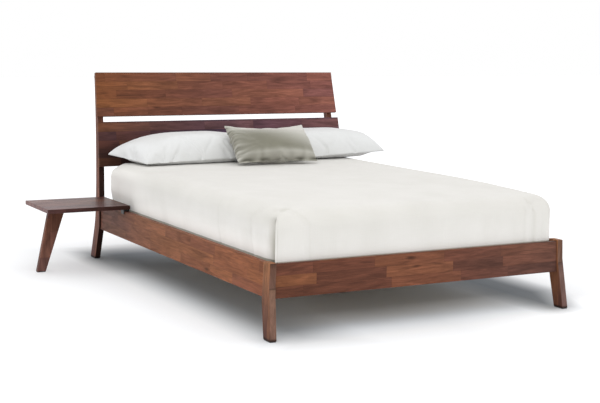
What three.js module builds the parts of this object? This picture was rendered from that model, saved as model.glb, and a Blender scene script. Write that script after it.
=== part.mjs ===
// A queen-size platform bed with a raked headboard on curved posts, splayed legs, two hanging
// nightstands, a slat deck and its bedding.
//
// Millimetres, +Z up, +X to the right seen from the foot of the bed, +Y towards the head.
// While the bed is built, x = 0 is its centre line, y = 0 the front of the front legs and z = 0
// the floor. The finished group is then moved so that its origin is at the middle of its footprint.
//
// The two side frames (front leg, side rail, rear post) lean outwards towards the floor, and
// everything in them is cut level, so their pieces are upright boards that are sheared sideways.

import * as THREE from "three";

// ---------------------------------------------------------------------------------------------
// Driving dimensions
// ---------------------------------------------------------------------------------------------

const GAP = 0.3; // clearance between pieces that touch
const EDGE = 1.5; // eased edge on every board
const FINE_EDGE = 0.5; // and on the small parts: glides, brackets and plates
const SPACER_EDGE = 1;
const SLAT_EDGE = 2;
const CURVE_STEPS = 12; // straight steps along a curved edge

// Side frames
const LEG_TOP_Z = 338;
const FRAME_HALF_WIDTH = 806.5; // centre line to a side frame's outer face, at the leg's top
const LEAN = Math.tan(THREE.MathUtils.degToRad(2.77)); // sideways run per mm of drop
const LEG_THICK = 32;
const GLIDE_THICK = 4.5;
const GLIDE_INSET = 2; // a glide is this much smaller than its foot all round
const FOOT_Z = GLIDE_THICK + GAP; // where the wood of each leg starts

// Front legs: upright above, kicked forward below
const LEG_DEPTH = 63;
const LEG_KICK_FRONT_Z = 245;
const LEG_KICK_BACK_Z = 168;
const LEG_KICK = 38; // how far the foot stands in front of the leg
const LEG_FOOT_DEPTH = 66;

// Rails
const RAIL_TOP_Z = 333;
const RAIL_HEIGHT = 153;
const RAIL_BOTTOM_Z = RAIL_TOP_Z - RAIL_HEIGHT;
const RAIL_END_STEPS = 6; // straight steps along a side rail's curved rear end
const CROSS_RAIL_STEP = 0.5; // the cross rails stop this short of the side rails' edges
const SIDE_RAIL_THICK = 25;
const SIDE_RAIL_INSET = 9; // behind the legs' outer face
const FOOT_RAIL_THICK = 22;
const FOOT_RAIL_SETBACK = 7; // behind the legs' front face
const HEAD_RAIL_THICK = 25;
const HEAD_RAIL_Y = 2172;

// Rear posts: the foot kicks backwards, the back above it curves away from the bed
const POST_KNEE_Y = 2155;
const POST_KNEE_Z = 200;
const POST_FOOT_Y = 2205;
const POST_FOOT_DEPTH = 76;
const POST_RAKE = 0.097; // the front edge's slope just above the knee
const POST_CURVE = 8.93e-5; // and how fast it grows, for a radius of 5.6 m
const POST_TOP_Z = 1070;
const POST_TOP_DEPTH = 38;
const POST_TOP_FALL = 8; // the top slopes down this much towards the back
const POST_CALF = { y: 2239, z: 182 }; // where the straight back edge of the foot ends
const POST_HOLLOW = { y: 2219.7, z: 265.5 }; // pulls the curve from the calf to the waist inwards
const POST_WAIST = { y: 2242, z: 459 }; // where the hollow of the back edge ends
const POST_BULGE = { y: 2277.7, z: 778 }; // pulls the curve from the waist to the top outwards

// Headboard panels
const PANEL_SLANT = 258.3;
const PANEL_THICK = 25;
const PANEL_OVERHANG = 17.5; // past the posts' outer faces
const PANELS = [
  { name: "lower", y: 2145, z: 548, rake: 11.6 },
  { name: "upper", y: 2214, z: 832, rake: 12.75 },
];
const SPACER_MARGIN = 28; // from a panel's edge to its spacers
const SPACER_THICK = 28;
const SPACER_STEPS = 4; // straight steps along a spacer's curved edge

// Slat deck
const SLAT_TOP_Z = 265;
const SLAT_THICK = 18;
const SLAT_WIDTH = 75;
const SLAT_COUNT = 14;
const SLAT_HALF_LENGTH = 771;
const SLAT_FIRST_Y = 72;
const SLAT_LAST_Y = 2044;
const LEDGER_THICK = 25;
const LEDGER_HEIGHT = 30;
const CORNER_BLOCK_WIDTH = 50;
const CORNER_BLOCK_LENGTH = 80;
const CORNER_BLOCK_HEIGHT = 56;
const BEAM_WIDTH = 40;
const BEAM_HEIGHT = 60;
const CENTER_FOOT_SIZE = 45;
const CENTER_FOOT_YS = [780, 1450];

// Nightstands
const TABLE_INNER_X = 785;
const TABLE_WIDTH = 464;
const TABLE_DEPTH = 416;
const TABLE_FRONT_Y = 1730;
const TABLE_THICK = 22;
const TABLE_BOTTOM_Z = 350;
const TABLE_LEG = { thick: 30, footIn: 1204, footOut: 1252, topIn: 1091, topOut: 1182 };
const TABLE_PLATE = { thick: 2.7, overhang: 14, depth: 60 };
const HOOK_WIDTH = 40;
const HOOK_FROM_MIDDLE = 138; // a hook's middle to the table's middle
const HOOK_OUTER_LIP = 5;
const HOOK_INNER_LIP = 2.4;
const HOOK_DROP = 15; // how far the lips reach down beside the rail
const HOOK_FLANGE = { length: 30, thick: 4 };
const HOOK_CLEARANCE = 0.5;

// Bedding
const MATTRESS = { width: 1524, length: 2032, height: 305 };
const MATTRESS_FOOT_Y = 38.5;
const MATTRESS_EDGE = 70; // rounding of its top edges
const MATTRESS_CHAMFER = 12; // and the chamfer along its bottom edges
const MATTRESS_CORNER = 82; // rounding of its upright corners
const COVERLET_LOOSE = 0.5; // between the mattress and the coverlet
const COVERLET_THICK = 6;
const COVERLET_HEM_Z = 292;
// The pillows' corners in plan: front left, front right, back right, back left.
const PILLOWS = {
  left: [[-665, 1785], [45, 1803], [40, 2143], [-776, 2105]],
  right: [[115, 1803], [905, 1793], [885, 2138], [115, 2143]],
};
const PILLOW = { rise: 140, drop: 36, pull: 0.02 };
const CUSHION_WIDTH = 508;
const CUSHION_DEPTH = 288;
const CUSHION = { rise: 50, drop: 44, pull: 0.06 };
const CUSHION_PLACE = { x: 90, y: 1738, z: 688, lean: 43, turn: -3.6 };

// ---------------------------------------------------------------------------------------------
// Materials
// ---------------------------------------------------------------------------------------------

const material = (color, roughness, metalness = 0) =>
  new THREE.MeshStandardMaterial({ color, roughness, metalness });

const walnut = material(0x70473a, 0.45);
const slatWood = material(0xc9a77c, 0.7);
const blackSteel = material(0x1b1a1a, 0.5, 0.6);
const glidePlastic = material(0x241f1d, 0.7);
const ticking = material(0xe9e7e0, 0.9);
const coverletCotton = material(0xe9e7e0, 0.85);
const pillowCotton = material(0xf1f2f4, 0.85);
const sageSatin = material(0x96977f, 0.5);

// ---------------------------------------------------------------------------------------------
// Shapes
// ---------------------------------------------------------------------------------------------

const SIDES = [
  { name: "left", sign: -1 },
  { name: "right", sign: 1 },
];

const bed = new THREE.Group();

function add(name, geometry, finish, x = 0, y = 0, z = 0) {
  const mesh = new THREE.Mesh(geometry, finish);
  mesh.name = name;
  mesh.position.set(x, y, z);
  bed.add(mesh);
  return mesh;
}

/** A closed outline through the given points. */
const outline = (points) => new THREE.Shape(points.map(([u, v]) => new THREE.Vector2(u, v)));

/** A board with eased edges: its outline in local XY, its thickness from z = 0 upwards. */
function board(shape, thickness, edge = EDGE) {
  return new THREE.ExtrudeGeometry(shape, {
    depth: thickness - 2 * edge,
    bevelThickness: edge,
    bevelSize: edge,
    bevelOffset: -edge,
    bevelSegments: 2,
    curveSegments: CURVE_STEPS,
  }).translate(0, 0, edge);
}

/** The corners of a rectangle centred on the origin, counter-clockwise from its front left. */
const rectangle = (width, depth) => [
  [-width / 2, -depth / 2],
  [width / 2, -depth / 2],
  [width / 2, depth / 2],
  [-width / 2, depth / 2],
];

/** A block with eased edges, resting on z = 0 and centred on the Z axis. */
const block = (width, depth, height, edge = EDGE) => board(outline(rectangle(width, depth)), height, edge);

/** Turns a board so that its outline is seen from the foot (local x, y become x, z). */
const facingFoot = (geometry) => geometry.rotateX(Math.PI / 2);

/** The outer face of a side frame at height z. */
const frameX = (z) => FRAME_HALF_WIDTH + LEAN * (LEG_TOP_Z - z);

/**
 * A board of a side frame: its outline is drawn in (y, z), and its outer face lies that inset
 * inside the frame's outer face.
 */
function sideBoard(shape, thickness, inset, sign, edge = EDGE) {
  const outerX = sign * (FRAME_HALF_WIDTH - inset);
  const outlineToYZ = new THREE.Matrix4().makeBasis(
    new THREE.Vector3(0, 1, 0),
    new THREE.Vector3(0, 0, 1),
    new THREE.Vector3(1, 0, 0),
  );
  const lean = new THREE.Matrix4().set(
    ...[1, 0, -sign * LEAN, sign * LEAN * LEG_TOP_Z],
    ...[0, 1, 0, 0],
    ...[0, 0, 1, 0],
    ...[0, 0, 0, 1],
  );
  return board(shape, thickness, edge)
    .applyMatrix4(outlineToYZ)
    .translate(sign > 0 ? outerX - thickness : outerX, 0, 0)
    .applyMatrix4(lean);
}

/** A board between the two side frames, with ends cut to their lean and kept clear by GAP. */
function crossBoard(bottomZ, topZ, thickness, frontY, inset) {
  const halfWidth = (z) => frameX(z) - inset - GAP;
  const shape = outline([
    [-halfWidth(bottomZ), bottomZ],
    [halfWidth(bottomZ), bottomZ],
    [halfWidth(topZ), topZ],
    [-halfWidth(topZ), topZ],
  ]);
  return facingFoot(board(shape, thickness)).translate(0, frontY + thickness, 0);
}

/** A flat pad under a foot, in the frame's lean. */
const glidePad = (frontY, backY, sign) =>
  sideBoard(
    outline([
      [frontY + GLIDE_INSET, 0],
      [backY - GLIDE_INSET, 0],
      [backY - GLIDE_INSET, GLIDE_THICK],
      [frontY + GLIDE_INSET, GLIDE_THICK],
    ]),
    LEG_THICK - 2 * GLIDE_INSET,
    GLIDE_INSET,
    sign,
    FINE_EDGE,
  );

// ---------------------------------------------------------------------------------------------
// Side frames
// ---------------------------------------------------------------------------------------------

/** The front edge of a rear post at height z: straight below the knee, curved above it. */
function postFrontY(z) {
  if (z < POST_KNEE_Z) return THREE.MathUtils.mapLinear(z, 0, POST_KNEE_Z, POST_FOOT_Y, POST_KNEE_Y);
  const above = z - POST_KNEE_Z;
  return POST_KNEE_Y + POST_RAKE * above + POST_CURVE * above * above;
}

/** Points along the post's front edge, kept clear of it by GAP, for a piece that butts on it. */
function alongPost(fromZ, toZ, steps) {
  const heights = Array.from({ length: steps + 1 }, (_, i) => THREE.MathUtils.lerp(fromZ, toZ, i / steps));
  if (fromZ < POST_KNEE_Z) heights.push(POST_KNEE_Z);
  return heights.sort((a, b) => a - b).map((z) => [postFrontY(z) - GAP, z]);
}

function frontLegShape() {
  const heelY = LEG_FOOT_DEPTH - LEG_KICK;
  return outline([
    [-LEG_KICK, FOOT_Z],
    [heelY, FOOT_Z],
    [LEG_DEPTH, LEG_KICK_BACK_Z],
    [LEG_DEPTH, LEG_TOP_Z],
    [0, LEG_TOP_Z],
    [0, LEG_KICK_FRONT_Z],
  ]);
}

function rearPostShape() {
  const topY = postFrontY(POST_TOP_Z);
  const half = (POST_TOP_Z - POST_KNEE_Z) / 2;
  const shape = new THREE.Shape();
  shape.moveTo(postFrontY(FOOT_Z), FOOT_Z);
  shape.lineTo(POST_FOOT_Y + POST_FOOT_DEPTH, FOOT_Z);
  shape.lineTo(POST_CALF.y, POST_CALF.z);
  shape.quadraticCurveTo(POST_HOLLOW.y, POST_HOLLOW.z, POST_WAIST.y, POST_WAIST.z);
  shape.quadraticCurveTo(POST_BULGE.y, POST_BULGE.z, topY + POST_TOP_DEPTH, POST_TOP_Z - POST_TOP_FALL);
  shape.lineTo(topY, POST_TOP_Z);
  shape.quadraticCurveTo(POST_KNEE_Y + POST_RAKE * half, POST_KNEE_Z + half, POST_KNEE_Y, POST_KNEE_Z);
  return shape;
}

function sideRailShape() {
  return outline([
    [LEG_DEPTH + GAP, RAIL_BOTTOM_Z],
    ...alongPost(RAIL_BOTTOM_Z, RAIL_TOP_Z, RAIL_END_STEPS),
    [LEG_DEPTH + GAP, RAIL_TOP_Z],
  ]);
}

function addSideFrames() {
  for (const { name, sign } of SIDES) {
    const heelY = LEG_FOOT_DEPTH - LEG_KICK;
    add(`front_leg_${name}`, sideBoard(frontLegShape(), LEG_THICK, 0, sign), walnut);
    add(`front_glide_${name}`, glidePad(-LEG_KICK, heelY, sign), glidePlastic);
    add(`side_rail_${name}`, sideBoard(sideRailShape(), SIDE_RAIL_THICK, SIDE_RAIL_INSET, sign), walnut);
    add(`rear_post_${name}`, sideBoard(rearPostShape(), LEG_THICK, 0, sign), walnut);
    const postHeelY = POST_FOOT_Y + POST_FOOT_DEPTH;
    add(`rear_glide_${name}`, glidePad(POST_FOOT_Y, postHeelY, sign), glidePlastic);
  }
}

// ---------------------------------------------------------------------------------------------
// Rails across the bed, headboard
// ---------------------------------------------------------------------------------------------

function addCrossRails() {
  const rails = [
    { name: "foot_rail", thick: FOOT_RAIL_THICK, y: FOOT_RAIL_SETBACK },
    { name: "head_rail", thick: HEAD_RAIL_THICK, y: HEAD_RAIL_Y },
  ];
  for (const { name, thick, y } of rails) {
    const bottomZ = RAIL_BOTTOM_Z + CROSS_RAIL_STEP;
    const topZ = RAIL_TOP_Z - CROSS_RAIL_STEP;
    add(name, crossBoard(bottomZ, topZ, thick, y, LEG_THICK), walnut);
  }
}

function addHeadboard() {
  for (const { name, y, z, rake } of PANELS) {
    const tilt = THREE.MathUtils.degToRad(rake);
    const topZ = z + PANEL_SLANT * Math.cos(tilt);
    const bottomHalf = frameX(z) + PANEL_OVERHANG;
    const topHalf = frameX(topZ) + PANEL_OVERHANG;
    const shape = outline([
      [-bottomHalf, 0],
      [bottomHalf, 0],
      [topHalf, PANEL_SLANT],
      [-topHalf, PANEL_SLANT],
    ]);
    // The panel's front face is at local y = 0, and leaning back turns it about its lower edge.
    const geometry = facingFoot(board(shape, PANEL_THICK)).translate(0, PANEL_THICK, 0);
    add(`headboard_panel_${name}`, geometry, walnut, 0, y, z).rotation.x = -tilt;

    // Spacers fill the wedge between the panel's back face and the post's curved front edge.
    const backY = (height) => y + PANEL_THICK / Math.cos(tilt) + (height - z) * Math.tan(tilt) + GAP;
    const low = z + SPACER_MARGIN;
    const high = Math.min(topZ - SPACER_MARGIN, POST_TOP_Z - EDGE);
    const spacer = outline([
      [backY(low), low],
      ...alongPost(low, high, SPACER_STEPS),
      [backY(high), high],
    ]);
    for (const side of SIDES) {
      const inset = (LEG_THICK - SPACER_THICK) / 2;
      const wedge = sideBoard(spacer, SPACER_THICK, inset, side.sign, SPACER_EDGE);
      add(`panel_spacer_${name}_${side.name}`, wedge, walnut);
    }
  }
}

// ---------------------------------------------------------------------------------------------
// Slat deck and its supports
// ---------------------------------------------------------------------------------------------

const SLAT_BOTTOM_Z = SLAT_TOP_Z - SLAT_THICK;
const FOOT_RAIL_BACK_Y = FOOT_RAIL_SETBACK + FOOT_RAIL_THICK;

function addSlatDeck() {
  const boxShape = (y0, y1, z0, z1) =>
    outline([
      [y0, z0],
      [y1, z0],
      [y1, z1],
      [y0, z1],
    ]);
  const supportTopZ = SLAT_BOTTOM_Z - GAP;
  const inset = SIDE_RAIL_INSET + SIDE_RAIL_THICK + GAP;
  const frontBlockY = FOOT_RAIL_BACK_Y + GAP;
  const rearBlockY = HEAD_RAIL_Y - GAP - CORNER_BLOCK_LENGTH;
  const blockBottomZ = supportTopZ - CORNER_BLOCK_HEIGHT;
  for (const { name, sign } of SIDES) {
    for (const [end, y] of [
      ["front", frontBlockY],
      ["rear", rearBlockY],
    ]) {
      const shape = boxShape(y, y + CORNER_BLOCK_LENGTH, blockBottomZ, supportTopZ);
      add(`corner_block_${end}_${name}`, sideBoard(shape, CORNER_BLOCK_WIDTH, inset, sign), slatWood);
    }
    const shape = boxShape(
      frontBlockY + CORNER_BLOCK_LENGTH + GAP,
      rearBlockY - GAP,
      supportTopZ - LEDGER_HEIGHT,
      supportTopZ,
    );
    add(`slat_ledger_${name}`, sideBoard(shape, LEDGER_THICK, inset, sign), slatWood);
  }

  const beamLength = HEAD_RAIL_Y - FOOT_RAIL_BACK_Y - 2 * GAP;
  const beamBottomZ = supportTopZ - BEAM_HEIGHT;
  const beam = block(BEAM_WIDTH, beamLength, BEAM_HEIGHT);
  add("center_beam", beam, slatWood, 0, (HEAD_RAIL_Y + FOOT_RAIL_BACK_Y) / 2, beamBottomZ);
  CENTER_FOOT_YS.forEach((y, i) => {
    const foot = block(CENTER_FOOT_SIZE, CENTER_FOOT_SIZE, beamBottomZ - GAP - FOOT_Z);
    add(`center_foot_${i + 1}`, foot, walnut, 0, y, FOOT_Z);
    const padSize = CENTER_FOOT_SIZE - 2 * GLIDE_INSET;
    const pad = block(padSize, padSize, GLIDE_THICK, FINE_EDGE);
    add(`center_glide_${i + 1}`, pad, glidePlastic, 0, y, 0);
  });

  const slat = block(2 * SLAT_HALF_LENGTH, SLAT_WIDTH, SLAT_THICK, SLAT_EDGE);
  for (let i = 0; i < SLAT_COUNT; i++) {
    const y = THREE.MathUtils.lerp(SLAT_FIRST_Y, SLAT_LAST_Y, i / (SLAT_COUNT - 1));
    add(`slat_${String(i + 1).padStart(2, "0")}`, slat, slatWood, 0, y, SLAT_BOTTOM_Z);
  }
}

// ---------------------------------------------------------------------------------------------
// Nightstands
// ---------------------------------------------------------------------------------------------

/** Mirrors an outline drawn for the right side when it is wanted on the left. */
const sided = (points, sign) => {
  const placed = points.map(([x, z]) => [sign * x, z]);
  return outline(sign > 0 ? placed : placed.reverse());
};

/** A hook that straddles a side rail: a block on its top edge, a lip down each face. */
function hookShape(sign) {
  const topZ = TABLE_BOTTOM_Z - GAP;
  const tipZ = RAIL_TOP_Z - HOOK_DROP;
  const seatZ = RAIL_TOP_Z + GAP;
  const faceOut = frameX(tipZ) - SIDE_RAIL_INSET + HOOK_CLEARANCE;
  const faceIn = frameX(RAIL_TOP_Z) - SIDE_RAIL_INSET - SIDE_RAIL_THICK - HOOK_CLEARANCE;
  return sided(
    [
      [faceIn - HOOK_INNER_LIP, tipZ],
      [faceIn, tipZ],
      [faceIn, seatZ],
      [faceOut, seatZ],
      [faceOut, tipZ],
      [faceOut + HOOK_OUTER_LIP, tipZ],
      [faceOut + HOOK_OUTER_LIP, topZ - HOOK_FLANGE.thick],
      [faceOut + HOOK_OUTER_LIP + HOOK_FLANGE.length, topZ - HOOK_FLANGE.thick],
      [faceOut + HOOK_OUTER_LIP + HOOK_FLANGE.length, topZ],
      [faceIn - HOOK_INNER_LIP, topZ],
    ],
    sign,
  );
}

function addNightstands() {
  const middleX = TABLE_INNER_X + TABLE_WIDTH / 2;
  const middleY = TABLE_FRONT_Y + TABLE_DEPTH / 2;
  const leg = TABLE_LEG;
  const plateBottomZ = TABLE_BOTTOM_Z - GAP - TABLE_PLATE.thick;
  for (const { name, sign } of SIDES) {
    const top = block(TABLE_WIDTH, TABLE_DEPTH, TABLE_THICK);
    add(`nightstand_top_${name}`, top, walnut, sign * middleX, middleY, TABLE_BOTTOM_Z);

    const legShape = sided(
      [
        [leg.footIn, FOOT_Z],
        [leg.footOut, FOOT_Z],
        [leg.topOut, plateBottomZ - GAP],
        [leg.topIn, plateBottomZ - GAP],
      ],
      sign,
    );
    const legBoard = facingFoot(board(legShape, leg.thick));
    add(`nightstand_leg_${name}`, legBoard, walnut, 0, middleY + leg.thick / 2, 0);

    const padWidth = leg.footOut - leg.footIn - 2 * GLIDE_INSET;
    const pad = block(padWidth, leg.thick - 2 * GLIDE_INSET, GLIDE_THICK, FINE_EDGE);
    const footX = (leg.footIn + leg.footOut) / 2;
    add(`nightstand_glide_${name}`, pad, glidePlastic, sign * footX, middleY, 0);

    const plateWidth = leg.topOut - leg.topIn + 2 * TABLE_PLATE.overhang;
    const plate = block(plateWidth, TABLE_PLATE.depth, TABLE_PLATE.thick, FINE_EDGE);
    const plateX = (leg.topIn + leg.topOut) / 2;
    add(`nightstand_plate_${name}`, plate, blackSteel, sign * plateX, middleY, plateBottomZ);

    for (const [end, offset] of [
      ["front", -HOOK_FROM_MIDDLE],
      ["rear", HOOK_FROM_MIDDLE],
    ]) {
      const hook = facingFoot(board(hookShape(sign), HOOK_WIDTH, FINE_EDGE));
      add(`hook_bracket_${end}_${name}`, hook, blackSteel, 0, middleY + offset + HOOK_WIDTH / 2, 0);
    }
  }
}

// ---------------------------------------------------------------------------------------------
// Bedding
// ---------------------------------------------------------------------------------------------

/** A rectangle with rounded corners, counter-clockwise from above, at height z. */
function roundedRing(halfWidth, halfLength, radius, z, stepsPerCorner = 5) {
  const ring = [];
  for (let corner = 0; corner < 4; corner++) {
    const signX = corner === 0 || corner === 3 ? 1 : -1;
    const signY = corner < 2 ? 1 : -1;
    for (let i = 0; i <= stepsPerCorner; i++) {
      const angle = ((corner + i / stepsPerCorner) * Math.PI) / 2;
      const x = signX * (halfWidth - radius) + radius * Math.cos(angle);
      const y = signY * (halfLength - radius) + radius * Math.sin(angle);
      ring.push(new THREE.Vector3(x, y, z));
    }
  }
  return ring;
}

/** A closed solid through a stack of rings, with both ends capped. */
function loft(rings) {
  const points = rings.flat();
  const count = rings[0].length;
  const index = [];
  for (let level = 0; level + 1 < rings.length; level++) {
    for (let i = 0; i < count; i++) {
      const a = level * count + i;
      const b = level * count + ((i + 1) % count);
      index.push(a, b, b + count);
      index.push(a, b + count, a + count);
    }
  }
  const last = (rings.length - 1) * count;
  for (let i = 1; i + 1 < count; i++) {
    index.push(0, i + 1, i);
    index.push(last, last + i, last + i + 1);
  }
  const geometry = new THREE.BufferGeometry().setFromPoints(points);
  geometry.setIndex(index);
  geometry.computeVertexNormals();
  return geometry;
}

/** Rings of a rounded top edge, from the upright side to the flat top, grown outwards by that much. */
function roundedTop(grow, topZ, steps = 5) {
  const radius = MATTRESS_EDGE + grow;
  return Array.from({ length: steps + 1 }, (_, i) => {
    const angle = ((i / steps) * Math.PI) / 2;
    const inset = MATTRESS_EDGE - radius * Math.cos(angle);
    return {
      inset,
      corner: MATTRESS_CORNER - inset,
      z: topZ - MATTRESS_EDGE + radius * Math.sin(angle),
    };
  });
}

/** Places the mattress's outline, moved inwards by inset, at each level. */
const mattressRings = (levels) =>
  levels.map(({ inset, corner, z }) =>
    roundedRing(MATTRESS.width / 2 - inset, MATTRESS.length / 2 - inset, corner, z),
  );

function addMattressAndCoverlet() {
  const bottomZ = SLAT_TOP_Z + GAP;
  const topZ = bottomZ + MATTRESS.height;
  const middleY = MATTRESS_FOOT_Y + MATTRESS.length / 2;
  const bottom = [
    { inset: MATTRESS_CHAMFER, corner: MATTRESS_CORNER - MATTRESS_CHAMFER, z: bottomZ },
    { inset: 0, corner: MATTRESS_CORNER, z: bottomZ + MATTRESS_CHAMFER },
  ];
  const mattress = loft(mattressRings([...bottom, ...roundedTop(0, topZ)]));
  add("mattress", mattress, ticking, 0, middleY, 0);

  // The coverlet is a cap over the mattress: down its inner face, round the hem, up its outer face.
  const inner = roundedTop(COVERLET_LOOSE, topZ);
  const outer = roundedTop(COVERLET_LOOSE + COVERLET_THICK, topZ);
  const hem = [inner[0], outer[0]].map((level) => ({ ...level, z: COVERLET_HEM_Z }));
  const cap = loft(mattressRings([...inner.toReversed(), ...hem, ...outer]));
  add("coverlet", cap, coverletCotton, 0, middleY, 0);
  return topZ + COVERLET_LOOSE + COVERLET_THICK;
}

/** The point between four corners, for u across and v along them from -1 to 1. */
function between([a, b, c, d], u, v) {
  const [right, back] = [(1 + u) / 2, (1 + v) / 2];
  return [0, 1].map((k) => {
    const front = a[k] + (b[k] - a[k]) * right;
    const rear = d[k] + (c[k] - d[k]) * right;
    return front + (rear - front) * back;
  });
}

/**
 * A stuffed pad lying flat: four eared corners, sides that pull in between them, and a crowned
 * top and bottom that meet in a seam at z = 0.
 */
function padGeometry(corners, { rise, drop, pull }, stepsU = 16, stepsV = 10) {
  const fullness = (t) => Math.sqrt(Math.max(0, 1 - t ** 4));
  const sheet = (height) => {
    const rows = [];
    for (let j = 0; j <= stepsV; j++) {
      for (let i = 0; i <= stepsU; i++) {
        // Steps are closer together near the seam, where the pad curves most.
        const u = Math.sin(((2 * i) / stepsU - 1) * (Math.PI / 2));
        const v = Math.sin(((2 * j) / stepsV - 1) * (Math.PI / 2));
        const [x, y] = between(corners, u * (1 - pull * (1 - v * v)), v * (1 - pull * (1 - u * u)));
        const onSeam = i === 0 || i === stepsU || j === 0 || j === stepsV;
        rows.push(new THREE.Vector3(x, y, onSeam ? 0 : height * fullness(u) * fullness(v)));
      }
    }
    return rows;
  };
  const points = [...sheet(rise), ...sheet(-drop)];
  const across = stepsU + 1;
  const half = across * (stepsV + 1);
  const index = [];
  for (let j = 0; j < stepsV; j++) {
    for (let i = 0; i < stepsU; i++) {
      const a = j * across + i;
      const [b, c, d] = [a + 1, a + across + 1, a + across];
      index.push(a, b, c, a, c, d);
      index.push(a + half, c + half, b + half, a + half, d + half, c + half);
    }
  }
  const geometry = new THREE.BufferGeometry().setFromPoints(points);
  geometry.setIndex(index);
  geometry.computeVertexNormals();
  return geometry;
}

function addPillows(restZ) {
  const seamZ = restZ + GAP + PILLOW.drop;
  for (const [side, corners] of Object.entries(PILLOWS)) {
    add(`pillow_${side}`, padGeometry(corners, PILLOW), pillowCotton, 0, 0, seamZ);
  }
  const { x, y, z, lean, turn } = CUSHION_PLACE;
  const cushionShape = padGeometry(rectangle(CUSHION_WIDTH, CUSHION_DEPTH), CUSHION);
  const cushion = add("lumbar_cushion", cushionShape, sageSatin, x, y, z);
  cushion.rotation.set(THREE.MathUtils.degToRad(lean), 0, THREE.MathUtils.degToRad(turn), "ZYX");
}

// ---------------------------------------------------------------------------------------------
// The whole bed
// ---------------------------------------------------------------------------------------------

addSideFrames();
addCrossRails();
addHeadboard();
addSlatDeck();
addNightstands();
addPillows(addMattressAndCoverlet());

const footprint = new THREE.Box3().setFromObject(bed, true).getCenter(new THREE.Vector3());
bed.position.set(-footprint.x, -footprint.y, 0);

const group = new THREE.Group();
group.add(bed);

export default group;
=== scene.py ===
"""Looks of the platform bed: materials, bedding, light and camera. Metres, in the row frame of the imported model."""

import functools
import math

import bpy
import numpy as np
from mathutils import Matrix, Vector, noise


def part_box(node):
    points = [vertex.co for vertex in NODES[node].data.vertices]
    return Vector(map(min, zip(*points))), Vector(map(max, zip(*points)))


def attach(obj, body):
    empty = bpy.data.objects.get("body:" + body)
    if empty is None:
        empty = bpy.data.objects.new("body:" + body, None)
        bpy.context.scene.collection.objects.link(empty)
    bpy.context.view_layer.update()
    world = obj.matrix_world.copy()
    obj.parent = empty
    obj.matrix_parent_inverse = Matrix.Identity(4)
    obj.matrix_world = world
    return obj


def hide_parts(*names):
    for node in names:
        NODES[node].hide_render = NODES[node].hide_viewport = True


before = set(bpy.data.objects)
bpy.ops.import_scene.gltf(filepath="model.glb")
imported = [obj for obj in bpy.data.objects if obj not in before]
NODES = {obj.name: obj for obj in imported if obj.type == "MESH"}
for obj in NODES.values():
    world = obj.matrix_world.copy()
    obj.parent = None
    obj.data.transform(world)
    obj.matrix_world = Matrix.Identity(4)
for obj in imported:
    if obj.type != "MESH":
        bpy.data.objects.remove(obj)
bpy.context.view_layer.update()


# ---- small helpers


def srgb(red, green, blue):
    """A display colour, 0 to 255 a channel, as the linear colour that shaders take."""
    return tuple(((c / 255 + 0.055) / 1.055) ** 2.4 if c > 10 else c / 3295 for c in (red, green, blue)) + (1.0,)


def smoothstep(low, high, value):
    """0 up to low and 1 from high on, with an eased slope between; low may be the higher of the two."""
    t = np.clip((value - low) / (high - low), 0, 1)
    return t * t * (3 - 2 * t)


def bell(distance, width):
    """1 where the distance is 0, falling away on both sides."""
    return np.exp(-((distance / width) ** 2))


def noise_at(points, scale, seed=0.0):
    """Smooth noise from -1 to 1 at each row of points; scale is cells per metre, one number an axis."""
    scaled = np.asarray(points, float) * np.asarray(scale) + seed
    return np.array([noise.noise(Vector(p)) for p in scaled])


def add_object(name, data):
    made = bpy.data.objects.new(name, data)
    bpy.context.scene.collection.objects.link(made)
    return made


def plain_mesh(name, vertices, faces):
    mesh = bpy.data.meshes.new(name)
    mesh.from_pydata([tuple(v) for v in vertices], [], [tuple(f) for f in faces])
    return mesh


def plain_object(name, vertices, faces):
    """A mesh object with no material yet."""
    return add_object(name, plain_mesh(name, vertices, faces))


def shade_smooth(mesh):
    mesh.polygons.foreach_set("use_smooth", [True] * len(mesh.polygons))


def new_piece(name, vertices, faces, body, slot, material):
    """A smooth-shaded mesh object that rides on a body and takes the given material; its slot argument is not used."""
    piece = plain_object(name, vertices, faces)
    piece.data.validate()
    piece.data.materials.append(material)
    shade_smooth(piece.data)
    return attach(piece, body)


def apply_modifiers(piece):
    """Replaces the piece's mesh with what its modifiers make of it."""
    graph = bpy.context.evaluated_depsgraph_get()
    mesh = bpy.data.meshes.new_from_object(piece.evaluated_get(graph))
    piece.modifiers.clear()
    piece.data = mesh
    shade_smooth(mesh)


def rows_from(first, count, length):
    """The numbers of the vertices in so many rows of a length, counted from the first."""
    return np.arange(first, first + count * length).reshape(-1, length).tolist()


def bands_between(rows):
    """Faces between each closed row of vertices and the next; the last vertex of a row joins up with its first."""
    faces = []
    for upper, lower in zip(rows, rows[1:]):
        for c in range(len(upper)):
            after = (c + 1) % len(upper)
            faces.append([upper[c], lower[c], lower[after], upper[after]])
    return faces


def unit(vectors):
    return vectors / np.linalg.norm(vectors, axis=1)[:, None]


def cord_tube(path, radius, sides=8):
    """A closed ring of round cord along a closed path of points."""
    ahead = unit(np.roll(path, -1, axis=0) - np.roll(path, 1, axis=0))
    side = unit(np.cross(ahead, [0, 0, 1]))
    up = np.cross(side, ahead)
    turns = 2 * math.pi * np.arange(sides)[:, None] / sides
    vertices = path[:, None] + radius * (np.cos(turns) * side[:, None] + np.sin(turns) * up[:, None])
    rows = rows_from(0, len(path), sides)[::-1]
    return vertices.reshape(-1, 3), bands_between([*rows, rows[0]])


# ---- materials


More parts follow.
